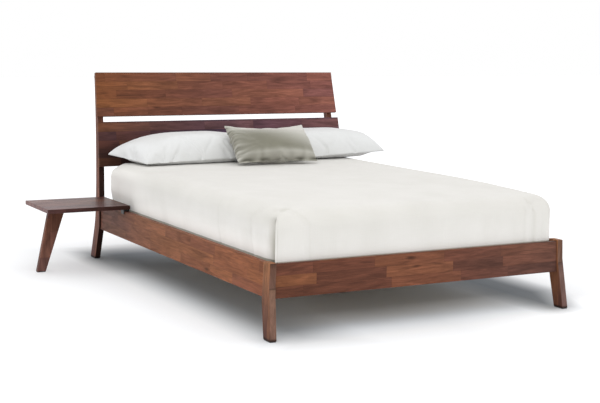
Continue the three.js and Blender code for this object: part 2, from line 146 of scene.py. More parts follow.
class Shader:
    """A material being built: short calls that add nodes and wire them up."""

    def __init__(self, name):
        self.material = bpy.data.materials.new(name)
        self.material.use_nodes = True
        self.tree = self.material.node_tree
        self.surface = self.tree.nodes["Principled BSDF"]

    def wire(self, target, value):
        if isinstance(value, bpy.types.NodeSocket):
            self.tree.links.new(value, target)
        else:
            target.default_value = value

    def node(self, kind, inputs=None, **settings):
        made = self.tree.nodes.new("ShaderNode" + kind)
        for key, value in settings.items():
            setattr(made, key, value)
        for key, value in (inputs or {}).items():
            self.wire(made.inputs[key], value)
        return made

    def math(self, operation, *values):
        made = self.node("Math", operation=operation)
        for socket, value in zip(made.inputs, values):
            self.wire(socket, value)
        return made.outputs[0]

    def chain(self, operation, *values):
        """The values joined by one operation, from the left."""
        return functools.reduce(lambda total, value: self.math(operation, total, value), values)

    plus = functools.partialmethod(chain, "ADD")
    minus = functools.partialmethod(chain, "SUBTRACT")
    times = functools.partialmethod(chain, "MULTIPLY")
    larger = functools.partialmethod(chain, "MAXIMUM")
    smaller = functools.partialmethod(chain, "MINIMUM")

    def combine(self, x, y, z):
        return self.node("CombineXYZ", {"X": x, "Y": y, "Z": z}).outputs[0]

    def stretch(self, values, scales):
        """The point whose coordinates are three values, each times its scale."""
        return self.combine(*[self.times(value, scale) for value, scale in zip(values, scales)])

    def place(self):
        """The surface point in the row frame: its sockets keyed by letter, and the whole point."""
        coordinates = self.node("TexCoord").outputs["Object"]
        split = self.node("SeparateXYZ", {"Vector": coordinates})
        return {"X": split.outputs[0], "Y": split.outputs[1], "Z": split.outputs[2], "all": coordinates}

    def facing_foot(self):
        """1 on the faces that look to the foot of the bed, 0 on the others."""
        normal = self.node("SeparateXYZ", {"Vector": self.node("NewGeometry").outputs["Normal"]})
        return self.fade(normal.outputs["Y"], -0.8, -0.5)

    def noise(self, vector, scale=1.0, detail=3.0, distortion=0.0, roughness=0.5):
        inputs = {"Vector": vector, "Scale": scale, "Detail": detail, "Distortion": distortion, "Roughness": roughness}
        return self.node("TexNoise", inputs).outputs["Fac"]

    def spread(self, value, low, high, new_low=0.0, new_high=1.0):
        """value mapped from low..high to new_low..new_high, clamped."""
        inputs = {"Value": value, "From Min": low, "From Max": high, "To Min": new_low, "To Max": new_high}
        return self.node("MapRange", inputs).outputs["Result"]

    def fade(self, value, low, high):
        """1 up to low and 0 from high on."""
        return self.spread(value, low, high, 1.0, 0.0)

    def ramp(self, value, stops):
        """The colour at a value from 0 to 1, blended between stops of (value, red, green, blue)."""
        made = self.node("ValToRGB", {"Fac": value})
        elements = made.color_ramp.elements
        while len(elements) < len(stops):
            elements.new(0.5)
        for element, (position, *colour) in zip(elements, stops):
            element.position = position
            element.color = srgb(*colour)
        return made.outputs["Color"]

    def blend_along(self, value, stops):
        """The same with the stops at any values, in rising order."""
        first, last = stops[0][0], stops[-1][0]
        shares = [((where - first) / (last - first), *colour) for where, *colour in stops]
        return self.ramp(self.spread(value, first, last), shares)

    def mix(self, factor, first, second, blend="MIX"):
        made = self.node("Mix", data_type="RGBA", blend_type=blend)
        for socket, value in zip((made.inputs[0], made.inputs[6], made.inputs[7]), (factor, first, second)):
            self.wire(socket, value)
        return made.outputs[2]

    def shade(self, colour, value, *mapping):
        """colour times a grey value, which is first mapped as spread does where a mapping is given."""
        grey = self.spread(value, *mapping) if mapping else value
        return self.mix(1.0, colour, self.combine(grey, grey, grey), "MULTIPLY")

    def darken(self, colour, mask, tone):
        """colour times the tone where the mask is 1."""
        return self.shade(colour, mask, 0.0, 1.0, 1.0, tone)

    def bump(self, height, strength, distance, normal=None):
        inputs = {"Height": height, "Strength": strength, "Distance": distance}
        if normal is not None:
            inputs["Normal"] = normal
        return self.node("Bump", inputs).outputs["Normal"]

    def finish(self, colour, roughness, normal=None, **values):
        """Wires the surface; values are constants set on the shader's own sockets."""
        self.wire(self.surface.inputs["Base Color"], colour)
        self.wire(self.surface.inputs["Roughness"], roughness)
        if normal is not None:
            self.wire(self.surface.inputs["Normal"], normal)
        for key, value in values.items():
            self.surface.inputs[key.replace("_", " ").title().replace("Ior", "IOR")].default_value = value
        return self.material


# Stave colours of the oiled hardwood, from heartwood to sapwood, and then of a few mauve-grey staves.
WALNUT_TONES = [
    (0.00, 78, 45, 34), (0.18, 98, 56, 42), (0.42, 118, 69, 47), (0.62, 130, 80, 52),
    (0.78, 142, 90, 56), (0.90, 108, 62, 52), (1.00, 88, 58, 60),
]
DECK_TONES = [(0.00, 196, 160, 116), (0.50, 212, 180, 138), (1.00, 224, 196, 156)]
LEG_SOLE = (0.009, 0.017, 0.25)  # the darker band at the foot of the bed's legs, as stave_wood takes it
BOARD_SHARE = 0.62  # how far the staves of a board take on its own colour
LAYER_DEPTH = 0.5  # staves this far apart through the wood are different ones
LAYER_STEP, LANE_STEP = 7.0, 5.173  # so that neighbouring rows of staves don't end at the same places

# The figure, in features a metre along the grain, across the board and through it.
BANDS = (4.6, 32.0, 30.0)
STREAKS = (14.0, 260.0, 260.0)
PORES = (60.0, 1500.0, 1500.0)
KNOT_CELLS = (2.4, 8.0, 0.0)
GLUE_LINE = (0.0002, 0.0008)  # a glue line is dark up to the first distance from the joint, and gone at the second


def stave_wood(name, along, across, seed, drift, stave=(0.36, 0.050), gloss=0.50,
               drift_behind=None, front=None, front_top=(2.0, 3.0), shaded=None, sole=None):
    """Hardwood glued up from staves. along and across are the axes of the grain and of the board's width; stave is a
    stave's mean length and its width. drift is the board's colour at places along the grain: its own tone, and in
    some boards painted shade and light as well. drift_behind is the same for faces that don't look to the foot. front
    multiplies the colour of faces that do, painted shade on some boards and a painted reflection on others, and fades
    out between the heights front_top. shaded (low z, high z, tone at the low z) paints shade on the same faces low
    down; sole darkens all of them."""
    mat = Shader(name)
    at = mat.place()
    through = ({"X", "Y", "Z"} - {along, across}).pop()
    length, width = stave
    rows = mat.plus(mat.math("DIVIDE", at[across], width), seed)
    layers = mat.plus(mat.math("DIVIDE", at[through], LAYER_DEPTH), 0.5)
    lane = mat.plus(mat.math("FLOOR", rows), mat.times(mat.math("FLOOR", layers), LAYER_STEP))
    reach = mat.plus(mat.math("DIVIDE", at[along], length), mat.times(lane, LANE_STEP))
    cells, ends = [
        mat.node("TexVoronoi", {"W": reach, "Scale": 1.0}, voronoi_dimensions="1D", feature=feature).outputs
        for feature in ("F1", "DISTANCE_TO_EDGE")
    ]
    chance = mat.node("SeparateColor", {"Color": cells["Color"]}).outputs

    to_foot = mat.facing_foot()
    board = mat.blend_along(at[along], drift)
    if drift_behind:
        board = mat.mix(to_foot, mat.blend_along(at[along], drift_behind), board)
    colour = mat.mix(BOARD_SHARE, mat.ramp(chance[0], WALNUT_TONES), board)

    # Figure: long wavy bands, finer streaks, and short dark pores, shifted from stave to stave.
    across_shifted = mat.plus(at[across], mat.times(chance[2], 9.0))
    point = (at[along], across_shifted, at[through])
    bands = mat.noise(mat.stretch(point, BANDS), detail=5.0, distortion=1.1, roughness=0.55)
    streaks = mat.noise(mat.stretch(point, STREAKS))
    pores = mat.spread(mat.noise(mat.stretch(point, PORES), detail=1.0), 0.60, 0.72)
    colour = mat.shade(colour, bands, 0.28, 0.72, 0.60, 1.36)
    colour = mat.shade(colour, streaks, 0.30, 0.70, 0.80, 1.17)
    colour = mat.darken(colour, pores, 0.72)

    # Small tight knots, in about one cell in four.
    knots_in = {"Vector": mat.stretch(point, KNOT_CELLS), "Scale": 1.0}
    knots = mat.node("TexVoronoi", knots_in, voronoi_dimensions="2D").outputs
    knot_chance = mat.node("SeparateColor", {"Color": knots["Color"]}).outputs[0]
    knot = mat.times(mat.fade(knots["Distance"], 0.02, 0.085), mat.spread(knot_chance, 0.74, 0.76))
    colour = mat.darken(colour, knot, 0.42)

    # Glue lines between staves, about half a millimetre wide.
    beside = mat.math("FRACT", rows)
    beside = mat.times(mat.smaller(beside, mat.minus(1.0, beside)), width)
    endwise = mat.times(ends["Distance"], length)
    line = mat.fade(mat.smaller(beside, endwise), *GLUE_LINE)
    colour = mat.darken(colour, line, 0.62)

    # Painted light and shade: front on the faces that look to the foot, shaded low down on them; sole darkens the
    # lowest part of every face.
    if front:
        painted_front = mat.times(to_foot, mat.fade(at["Z"], *front_top))
        colour = mat.mix(painted_front, colour, mat.mix(1.0, colour, (*front, 1.0), "MULTIPLY"))
    if shaded:
        low, high, tone = shaded
        gloom = mat.spread(at["Z"], low, high, 1.0 - tone, 0.0)
        colour = mat.shade(colour, mat.minus(1.0, mat.times(gloom, to_foot)))
    if sole:
        low, high, tone = sole
        colour = mat.shade(colour, at["Z"], low, high, tone, 1.0)

    roughness = mat.spread(bands, 0.2, 0.8, gloss + 0.08, gloss - 0.05)
    height = mat.minus(streaks, mat.times(mat.plus(pores, line), 1.2))
    return mat.finish(colour, roughness, mat.bump(height, 0.35, 0.0004), specular_ior_level=0.13)


def deck_wood(name, along):
    """Plain pale softwood with straight grain, for the slats and the beam."""
    mat = Shader(name)
    at = mat.place()
    scales = [5.0 if axis == along else 120.0 for axis in "XYZ"]
    grain = mat.noise(mat.stretch([at[axis] for axis in "XYZ"], scales), detail=5.0, distortion=0.5)
    board = mat.noise(at["all"], 2.2, detail=0.0)
    colour = mat.ramp(mat.spread(board, 0.3, 0.7), DECK_TONES)
    colour = mat.shade(colour, grain, 0.3, 0.7, 0.78, 1.06)
    return mat.finish(colour, mat.spread(grain, 0.3, 0.7, 0.72, 0.6), mat.bump(grain, 0.4, 0.0005))


def black_steel():
    """Powder-coated sheet steel: a fine orange-peel grain, rubbed a little lighter in places."""
    mat = Shader("black_steel")
    at = mat.place()
    peel = mat.noise(at["all"], 900.0, detail=2.0)
    rub = mat.noise(at["all"], 35.0, detail=4.0)
    colour = mat.ramp(mat.spread(rub, 0.35, 0.75), [(0.0, 13, 12, 12), (1.0, 27, 26, 25)])
    return mat.finish(colour, mat.spread(rub, 0.3, 0.7, 0.5, 0.38), mat.bump(peel, 0.5, 0.0002))


def glide_plastic():
    """Moulded felt-grey plastic with a matte grain."""
    mat = Shader("glide_plastic")
    at = mat.place()
    grain = mat.noise(at["all"], 1400.0, detail=2.0)
    colour = mat.ramp(grain, [(0.3, 38, 34, 32), (0.7, 54, 49, 46)])
    return mat.finish(colour, 0.7, mat.bump(grain, 0.5, 0.0002))


YARN = (14.0, 420.0)  # how often the yarn's thickness varies along itself and across, in cycles a metre


def woven(name, dark, light, thread, roughness, weave_depth, slub=0.5, crease=0.0, painted_shade=None, painted_light=None,
          **values):
    """Plain-woven cloth. thread is the distance between threads; weave_depth is how deep the weave reads; slub is
    how uneven the yarn is; crease adds soft pressed-in wrinkles. The last two colours paint shade into the mesh's
    folds and gaps and paint light and sheen onto it: each follows the mesh's attribute of the same name."""
    mat = Shader(name)
    at = mat.place()
    point = [at[axis] for axis in "XYZ"]
    turns = 2 * math.pi / thread
    weave = mat.plus(*[mat.math("SINE", mat.times(value, turns)) for value in point])
    yarn_scales = [[YARN[0] if k == axis else YARN[1] for k in range(3)] for axis in range(3)]
    yarns = [mat.noise(mat.stretch(point, scales), detail=1.0) for scales in yarn_scales]
    uneven = mat.times(mat.plus(*yarns), 1 / 3)
    patchy = mat.noise(at["all"], 6.0)
    tone = mat.plus(mat.times(uneven, slub), mat.times(patchy, 1.0 - slub))
    colour = mat.mix(mat.spread(tone, 0.35, 0.65), dark, light)
    # Painted light and sheen, then painted shade, each as strong as the mesh's attributes say; past 1 the painted
    # shade goes deeper still.
    if painted_light:
        bright = mat.node("Attribute", attribute_name="painted_light").outputs["Fac"]
        colour = mat.mix(bright, colour, painted_light)
    if painted_shade:
        fold = mat.node("Attribute", attribute_name="painted_shade").outputs["Fac"]
        colour = mat.mix(mat.smaller(fold, 1.0), colour, painted_shade)
        colour = mat.shade(colour, fold, 1.0, 1.6, 1.0, 0.12)
    normal = mat.bump(mat.plus(weave, mat.times(uneven, 2.0 * slub)), weave_depth, 0.0003)
    if crease:
        folds = mat.noise(at["all"], 9.0, detail=4.0, distortion=1.2, roughness=0.45)
        normal = mat.bump(folds, crease, 0.004, normal)
    return mat.finish(colour, roughness, normal, **values)


def make_materials():
    """Every material by name; wood comes in one version for each direction of the grain."""
    return {
        "panel_upper": stave_wood(
            "walnut_panel_upper", "X", "Z", 0.36,
            [(-0.8, 112, 66, 34), (-0.1, 114, 72, 62), (0.4, 134, 84, 74), (0.8, 142, 90, 84)],
        ),
        # Painted shade on the lower panel's front: drift is dark at its left end, and shaded darkens it low down,
        # where the mattress and pillows shade it.
        "panel_lower": stave_wood(
            "walnut_panel_lower", "X", "Z", 3.12,
            [(-0.8, 58, 34, 29), (-0.35, 56, 48, 66), (0.0, 62, 57, 86), (0.8, 102, 74, 86)],
            drift_behind=[(-0.8, 88, 54, 42), (0.0, 104, 66, 50), (0.8, 96, 62, 54)],
            shaded=(0.58, 0.72, 0.42),
        ),
        "foot_rail": stave_wood(
            "walnut_foot_rail", "X", "Z", 6.39, [(-0.8, 92, 54, 37), (0.0, 109, 66, 51), (0.8, 86, 62, 56)],
        ),
        "side_rail": stave_wood(
            "walnut_side_rail", "Y", "Z", 1.39, [(-1.1, 138, 79, 43), (0.0, 126, 78, 50), (1.0, 104, 70, 60)],
        ),
        # Painted light and shade on the front legs: drift_behind paints their sides darker low down and lighter
        # towards the top, and front paints a lighter, bluer reflection on the faces that look to the foot.
        "front_leg": stave_wood(
            "walnut_front_leg", "Z", "Y", 2.7, [(0.03, 110, 80, 70), (0.17, 104, 78, 66), (0.32, 82, 55, 44)],
            drift_behind=[(0.03, 80, 53, 45), (0.16, 108, 73, 54), (0.32, 162, 110, 72)],
            stave=(0.6, 0.045), front=(0.94, 1.14, 1.36), sole=LEG_SOLE,
        ),
        # Painted shade: the rear posts' faces that look to the foot are painted almost black up to front_top.
        "rear_post": stave_wood(
            "walnut_rear_post", "Z", "Y", 5.2, [(0.0, 112, 70, 62), (1.1, 96, 62, 54)], stave=(0.6, 0.045),
            front=(0.15, 0.14, 0.14), front_top=(0.68, 0.80), sole=LEG_SOLE,
        ),
        "nightstand_top": stave_wood(
            "walnut_table", "X", "Y", 4.2,
            [(-1.25, 104, 78, 84), (-0.79, 44, 28, 26), (0.79, 44, 28, 26), (1.25, 104, 78, 84)],
            gloss=0.34, front=(0.55, 0.50, 0.45),
        ),
        "nightstand_leg": stave_wood(
            "walnut_table_leg", "Z", "X", 8.1, [(0.0, 104, 78, 74), (0.35, 84, 54, 46)], stave=(0.16, 0.09),
        ),
        "deck_crosswise": deck_wood("deck_crosswise", "X"),
        "deck_lengthwise": deck_wood("deck_lengthwise", "Y"),
        "steel": black_steel(),
        "glide": glide_plastic(),
        "ticking": woven("ticking", srgb(214, 207, 194), srgb(226, 220, 208), 0.0011, 0.85, 0.35, sheen_weight=0.1),
        # The coverlet's last two colours are painted shade, for its folds, pleat and hem, and painted light, for its
        # lower sides and head end.
        "coverlet": woven(
            "coverlet_cotton", srgb(218, 216, 211), srgb(225, 223, 219), 0.0009, 0.88, 0.30, crease=0.16,
            painted_shade=srgb(176, 173, 160), painted_light=srgb(249, 247, 243), sheen_weight=0.12,
        ),
        "pillow": woven(
            "pillow_cotton", srgb(216, 217, 216), srgb(223, 224, 224), 0.0006, 0.8, 0.22, crease=0.12, sheen_weight=0.1
        ),
        # The satin's last two colours are painted shade, for its puckers, and painted sheen.
        "satin": woven(
            "sage_satin", srgb(106, 104, 88), srgb(121, 119, 102), 0.0007, 0.36, 0.2, slub=0.7, crease=0.10,
            painted_shade=srgb(62, 60, 46), painted_light=srgb(206, 204, 196), sheen_weight=0.5, sheen_roughness=0.32,
        ),
    }


# The material of the CAD nodes whose names start so; the rest are made of the rear posts' wood.
NODE_MATERIALS = {
    ("hook_bracket", "nightstand_plate"): "steel",
    ("slat_0", "slat_1"): "deck_crosswise",
    ("slat_ledger", "corner_block", "center_beam"): "deck_lengthwise",
    ("nightstand_leg",): "nightstand_leg",
    ("nightstand_top",): "nightstand_top",
    ("headboard_panel_upper",): "panel_upper",
    ("headboard_panel_lower",): "panel_lower",
    ("side_rail",): "side_rail",
    ("foot_rail", "head_rail"): "foot_rail",
    ("front_leg", "center_foot"): "front_leg",
}


def material_for(name):
    """The material of a CAD node."""
    if "glide" in name:
        return "glide"
    return next((material for starts, material in NODE_MATERIALS.items() if name.startswith(starts)), "rear_post")


# ---- mattress and coverlet

CLOTH = 0.0055  # the coverlet's thickness, wadding included
EDGE_RADIUS = 0.078  # how the coverlet rounds over the mattress edge, and round its upright corners
GRID = 0.012  # size of a mesh face on the bedding
CORNER_COLUMNS = 40
HEAD_CORNER, FOOT_CORNER = 0.018, 0.040  # radii of the squarer corners: the two at the head, and the foot's right one
HEAD_EASE = 0.015  # the coverlet hangs this far off the mattress's head end
ARC_ROWS = 10
FOOT_SAG = 0.024  # the mattress top falls this much towards the foot
FOOT_SAG_REACH = 0.26
MITRE = (0.552, 0.528)  # the pleated corner turns from round to a mitre between these heights
PLEAT = (0.534, 0.492)  # and its pleat opens between these
PLEAT_EDGE = 0.22  # the painted shade on the side panel where it turns into the pleat
FOLD_LEAD = 0.011  # the side panel has come in this much where the pleat's curve begins
FOLD_REACH = 0.135  # and starts to come in this far from the corner
HEM_TUCK = 0.013  # the sides draw in this much towards the hem, which leaves a shadow gap inside the rails
HEM_BAND = (0.3340, 0.3370)  # a band of painted shade for the gap inside the rails starts between these heights, which the rails hide
SEAM_INSET = 0.120  # the foot panel's seam, in from the right corner


def bed_top(x, y, foot, crown):
    """Height of the made bed's top: level, but lower towards the foot edge and dipping a little between."""
    sag = FOOT_SAG * np.exp(-(y - foot) / FOOT_SAG_REACH)
    points = np.column_stack([x, y, np.zeros_like(x)])
    waves = 0.0026 * noise_at(points, (2.3, 1.7, 1.0), 4.1) + 0.0011 * noise_at(points, (7.0, 4.0, 1.0), 9.3)
    return crown - 0.003 - sag + waves


def skirt_columns(low, high, radius):
    """The columns of mesh that run out from the bed's top and down its sides, anticlockwise from the foot's left: the
    point each starts from, its outward angle, its corner (0 to 3, or -1) and the share of the turn round it."""
    across = max(2, round((high[0] - low[0] - 2 * radius) / GRID))
    along = max(2, round((high[1] - low[1] - 2 * radius) / GRID))
    corners = [(across, 0), (across, along), (0, along), (0, 0)]
    edges = [
        [(i, 0) for i in range(across + 1)],
        [(across, j) for j in range(along + 1)],
        [(i, along) for i in range(across, -1, -1)],
        [(0, j) for j in range(along, -1, -1)],
    ]
    columns = []
    for side, edge in enumerate(edges):
        facing = -math.pi / 2 + side * math.pi / 2
        columns += [(i, j, facing, -1, 0.0) for i, j in edge]
        for k in range(1, CORNER_COLUMNS):
            share = k / CORNER_COLUMNS
            columns.append((*corners[side], facing + share * math.pi / 2, side, share))
    return across, along, columns


def mitre_path(share):
    """Plan of a sharp corner, for a share of the way from the foot panel round to the side panel: how far in from
    the foot face and from the side face the cloth lies."""
    from_foot = np.interp(share, [0.0, 0.33, 1.0], [0, 0.002, EDGE_RADIUS])
    return from_foot, np.interp(share, [0, 0.33], [EDGE_RADIUS, 0.001])


def fold_path(share):
    """The same for the inverted pleat at the foot's left corner. The foot panel runs out to a crisp lip at the
    corner, and the side panel curves in behind it."""
    stops = [0.0, 0.20, 0.28, 0.33, 0.39, 0.46, 0.55, 0.64, 0.74, 0.86, 1.0]
    from_foot = [0.000, 0.000, 0.000, 0.002, 0.013, 0.026, 0.036, 0.045, 0.055, 0.066, EDGE_RADIUS]
    from_side = [EDGE_RADIUS, 0.020, 0.006, 0.001, 0.030, 0.066, 0.062, 0.050, 0.036, 0.022, FOLD_LEAD]
    return np.interp(share, stops, from_foot), np.interp(share, stops, from_side)


def square_corner(share, radius, tight):
    """Plan of a corner with a tight radius: how far in from the first face and from the second the cloth lies."""
    turn = np.clip((share - 0.3) / 0.4, 0, 1) * math.pi / 2
    before = radius - (radius - tight) * np.clip(share / 0.3, 0, 1)
    after = radius - (radius - tight) * np.clip((1 - share) / 0.3, 0, 1)
    first = np.where(share < 0.7, tight * (1 - np.sin(math.pi / 2 - turn)), after)
    second = np.where(share > 0.3, tight * (1 - np.sin(turn)), before)
    return first, second


def pleat_lift(height):
    """How much the painted shade on the side panel's part of the pleat lightens, from its foot to its top."""
    return 0.55 * smoothstep(0.38, 0.50, height)


def bed_shell(low, high, radius, hem, pleated):
    """One layer over the bed, a top grid and a skirt down to the hem: its vertices and faces, the vertices of the
    hem, and how much painted shade each vertex takes in the pleat."""
    across, along, columns = skirt_columns(low, high, radius)
    xs = np.linspace(low[0] + radius, high[0] - radius, across + 1)
    ys = np.linspace(low[1] + radius, high[1] - radius, along + 1)
    grid_x, grid_y = [g.ravel() for g in np.meshgrid(xs, ys, indexing="xy")]
    grid_z = bed_top(grid_x, grid_y, low[1], high[2])
    top = np.column_stack([grid_x, grid_y, grid_z])
    index = rows_from(0, along + 1, across + 1)
    faces = [
        [index[j][i], index[j][i + 1], index[j + 1][i + 1], index[j + 1][i]]
        for j in range(along) for i in range(across)
    ]

    start = np.array([top[index[j][i]] for i, j, *_ in columns])
    facing = np.array([c[2] for c in columns])
    outward = np.column_stack([np.cos(facing), np.sin(facing)])
    corner = np.array([c[3] for c in columns])
    share = np.array([c[4] for c in columns])
    spring = start[:, 2] - radius
    drop_rows = max(4, round((high[2] - radius - HEM_BAND[1]) / GRID))
    bends = [math.pi / 2 * k / ARC_ROWS for k in range(1, ARC_ROWS + 1)]
    heights = [start[:, 2] - radius * (1 - math.cos(bend)) for bend in bends]
    heights += [spring + (HEM_BAND[1] - spring) * k / drop_rows for k in range(1, drop_rows + 1)]
    heights += [np.full_like(spring, z) for z in np.linspace(HEM_BAND[0], hem, 4)]
    insets = [radius * (1 - math.sin(bend)) for bend in bends] + [0.0] * (len(heights) - ARC_ROWS)
    plans = [start[:, :2] + outward * (radius - inset) for inset in insets]
    rows = np.array([np.column_stack(pair) for pair in zip(plans, heights)])

    depth = np.zeros(rows.shape[:2])
    if pleated:
        for row, inset, deep in zip(rows, insets, depth):
            ease = 1 - inset / radius
            for which, tight in ((0, FOOT_CORNER), (1, HEAD_CORNER), (2, HEAD_CORNER)):
                picked = np.where(corner == which)[0]
                first, second = square_corner(share[picked], radius, tight)
                from_side, from_end = (first, second) if which == 1 else (second, first)
                side_x, sense_x = (low[0], 1) if which == 2 else (high[0], -1)
                end_y, sense_y = (low[1], 1) if which == 0 else (high[1], -1)
                weight = smoothstep(high[2] - 0.004, high[2] - 0.05, row[picked, 2])
                row[picked, 0] += weight * (side_x + sense_x * (inset + ease * from_side) - row[picked, 0])
                row[picked, 1] += weight * (end_y + sense_y * (inset + ease * from_end) - row[picked, 1])

            picked = np.where(corner == 3)[0]
            turned = 1 - share[picked]
            height = row[picked, 2]
            opened = smoothstep(*PLEAT, height)
            paths = zip(mitre_path(turned), fold_path(turned))
            from_foot, from_side = [(1 - opened) * mitre + opened * fold for mitre, fold in paths]
            weight = smoothstep(*MITRE, height)
            row[picked, 0] += weight * (low[0] + inset + ease * from_side - row[picked, 0])
            row[picked, 1] += weight * (low[1] + inset + ease * from_foot - row[picked, 1])
            # Painted shade in the pleat, deepest just behind the lip and easing off on the side panel towards the top.
            deep[picked] = opened * np.interp(turned, [0.33, 0.38, 0.74, 1.0], [0, 1, 0.80, PLEAT_EDGE])
            deep[picked] *= 1 - smoothstep(0.70, 0.80, turned) * pleat_lift(height)

            beside = np.where((corner == -1) & (start[:, 0] < low[0] + 1.01 * radius) & (facing > 3.0))[0]
            height = row[beside, 2]
            opened = smoothstep(*PLEAT, height)
            nearness = np.clip((low[1] + FOLD_REACH - row[beside, 1]) / (FOLD_REACH - radius), 0, 1)
            row[beside, 0] += opened * FOLD_LEAD * nearness**2
            # Painted shade on the side panel where it comes in towards the pleat.
            deep[beside] = PLEAT_EDGE * opened * nearness**2 * (1 - pleat_lift(height))

    count, total = len(top), len(columns)
    vertices = np.vstack([top, rows.reshape(-1, 3)])
    for c in range(total):
        after = (c + 1) % total
        here, there = index[columns[c][1]][columns[c][0]], index[columns[after][1]][columns[after][0]]
        faces.append([here, count + c, count + after] + ([there] if there != here else []))
    down = rows_from(count, len(rows), total)
    faces += bands_between(down)
    return vertices, faces, down[-1], np.concatenate([np.zeros(count), depth.ravel()])


# Creases down from the top edge near each foot corner: how far in from the corner, how much nearer at the top, how
# high they stand, and whether they are on the foot face.
CORNER_CREASES = [(0.150, 0.072, 0.0042, True), (0.215, 0.060, 0.0042, False), (0.560, 0.020, 0.0025, False)]
CORNER_RIDGES = (0.5, 0.95, 1.35)  # angles of the ridges that fan out on the top from each foot corner
SEAM_RIDGES = [(-0.006, 0.0, 0.007), (0.004, 0.020, 0.012), (0.003, -0.030, 0.012)]  # height, place across it, width


def wrinkle(vertices, normals, low, high):
    """Soft hanging folds on the coverlet's sides, and creases that run out from its foot corners. Returns the moved
    points, how much painted shade each takes, and how much painted light."""
    x, y, z = vertices.T
    top = high[2]
    from_side, from_foot = x - low[0], y - low[1]
    gathers = noise_at(vertices, (9.0, 9.0, 1.2), 2.0) + 0.5 * noise_at(vertices, (24.0, 24.0, 2.5), 7.0)
    lift = 0.0019 * smoothstep(top - 0.05, top - 0.16, z) * gathers
    draped = smoothstep(top - 0.004, top - 0.032, z)
    for inward in (from_side, high[0] - x):
        for distance, bend, rise, on_foot_face in CORNER_CREASES:
            along_edge, off_edge = (inward, from_foot) if on_foot_face else (from_foot, inward)
            line = along_edge - distance + bend * smoothstep(0.490, 0.575, z)
            on_face = smoothstep(0.10, 0.03, off_edge) * draped
            lift += rise * on_face * (bell(line, 0.009) - 0.4 * bell(line - 0.020, 0.012))
        length = np.hypot(inward, from_foot)
        for angle in CORNER_RIDGES:
            across = inward * math.sin(angle) - from_foot * math.cos(angle)
            ridge = bell(across, 0.014) * smoothstep(0.03, 0.09, length) * smoothstep(0.34, 0.16, length)
            lift += 0.0028 * ridge * smoothstep(top - 0.12, top - 0.04, z)

    # The hollow where the cloth is drawn into the pleat, on the foot side of its top.
    lift -= 0.0070 * bell(from_side - 0.082, 0.042) * bell(from_foot - 0.076, 0.034) * smoothstep(0.515, 0.545, z)
    # The foot panel's seam, which leans in over the top edge and flattens out there.
    from_seam = high[0] - x - SEAM_INSET - 0.49 * np.clip(z - (top - 0.10), 0, 0.1)
    on_foot = smoothstep(0.16, 0.04, from_foot) * (1 - 0.6 * smoothstep(top - 0.13, top - 0.05, z))
    lift += on_foot * sum(rise * bell(from_seam - place, width) for rise, place, width in SEAM_RIDGES)

    # Painted shade: in the folds, on the upper part of the foot face and of the sides, and in a dark band along the
    # hem where the rails leave a gap, darkest near the pleated corner.
    painted_shade = np.clip(-lift / 0.016, 0, 0.42)
    to_foot, to_side = np.clip(-normals[:, 1], 0, 1), np.abs(normals[:, 0])
    painted_shade += 0.22 * to_foot * smoothstep(0.35, 0.56, z)
    painted_shade += 0.15 * to_side * smoothstep(0.44, 0.52, z) * (1 + bell(from_foot, 0.25))
    at_corner = bell(from_foot, 0.075) * (x < 0) * (from_foot > 0.004)
    painted_shade += (0.90 + 0.95 * at_corner) * smoothstep(HEM_BAND[1], HEM_BAND[0], z)
    # Painted light low on the sides and near the head end, set against the shade that falls there.
    low_or_at_head = np.maximum(smoothstep(0.45, 0.355, z), smoothstep(0.75, 0.15, high[1] - y))
    painted_light = to_side * smoothstep(top - 0.004, top - 0.040, z) * low_or_at_head

    tucked = HEM_TUCK * smoothstep(0.43, top - 0.24, z) * smoothstep(0.0, 0.03, np.abs(x) - (high[0] - 0.035))
    tucked *= np.where(x > 0, smoothstep(0.02, 0.25, from_foot), smoothstep(0.004, 0.030, from_foot))
    moved = vertices + normals * lift[:, None]
    moved[:, 0] -= np.sign(x) * tucked
    return moved, painted_shade, painted_light


def store(piece, name, values):
    """Stores a number at each vertex for the cloth's material to read."""
    attribute = piece.data.attributes.new(name, "FLOAT", "POINT")
    attribute.data.foreach_set("value", np.asarray(values, np.float32))


def vertex_normals(vertices, faces):
    mesh = plain_mesh("normals", vertices, faces)
    normals = np.array([v.normal[:] for v in mesh.vertices])
    bpy.data.meshes.remove(mesh)
    return normals


def add_coverlet(materials):
    """The coverlet: one thin sheet over the mattress, with pleated foot corners and a closed hem; its folds, pleat and
    hem carry painted shade, and its lower sides and head end painted light.
    """
    low, high = [np.array(c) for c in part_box("coverlet")]
    high[1] += HEAD_EASE
    hem = low[2]
    vertices, faces, hem_row, pleat = bed_shell(low, high, EDGE_RADIUS, hem, pleated=True)
    outer, painted_shade, painted_light = wrinkle(vertices, vertex_normals(vertices, faces), low, high)
    painted_shade = np.maximum(painted_shade, 1.02 * pleat)
    outer[:, 0] = np.clip(outer[:, 0], low[0] - 0.003, high[0] + 0.003)
    outer[:, 1] = np.clip(outer[:, 1], low[1] - 0.002, high[1] + 0.004)
    inner = outer - CLOTH * vertex_normals(outer, faces)
    count = len(outer)
    both = faces + [[count + i for i in reversed(face)] for face in faces]
    both += bands_between([hem_row, [count + i for i in hem_row]])
    cloth = materials["coverlet"]
    piece = new_piece("coverlet_sheet", np.vstack([outer, inner]), both, "bedding", "coverlet_cotton", cloth)
    store(piece, "painted_shade", np.tile(painted_shade, 2))
    store(piece, "painted_light", np.tile(painted_light, 2))
    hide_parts("coverlet")


BOTTOM_ROLL = 0.012  # the mattress's bottom edge rolls under from this far above its underside
BOTTOM_RINGS = [(0.004, 0.004), (0.014, 0.0)]  # the rings of the roll: how far in each lies, and how high
PIPING = (0.0035, 0.004)  # radius of the piping, and how far above the roll it runs


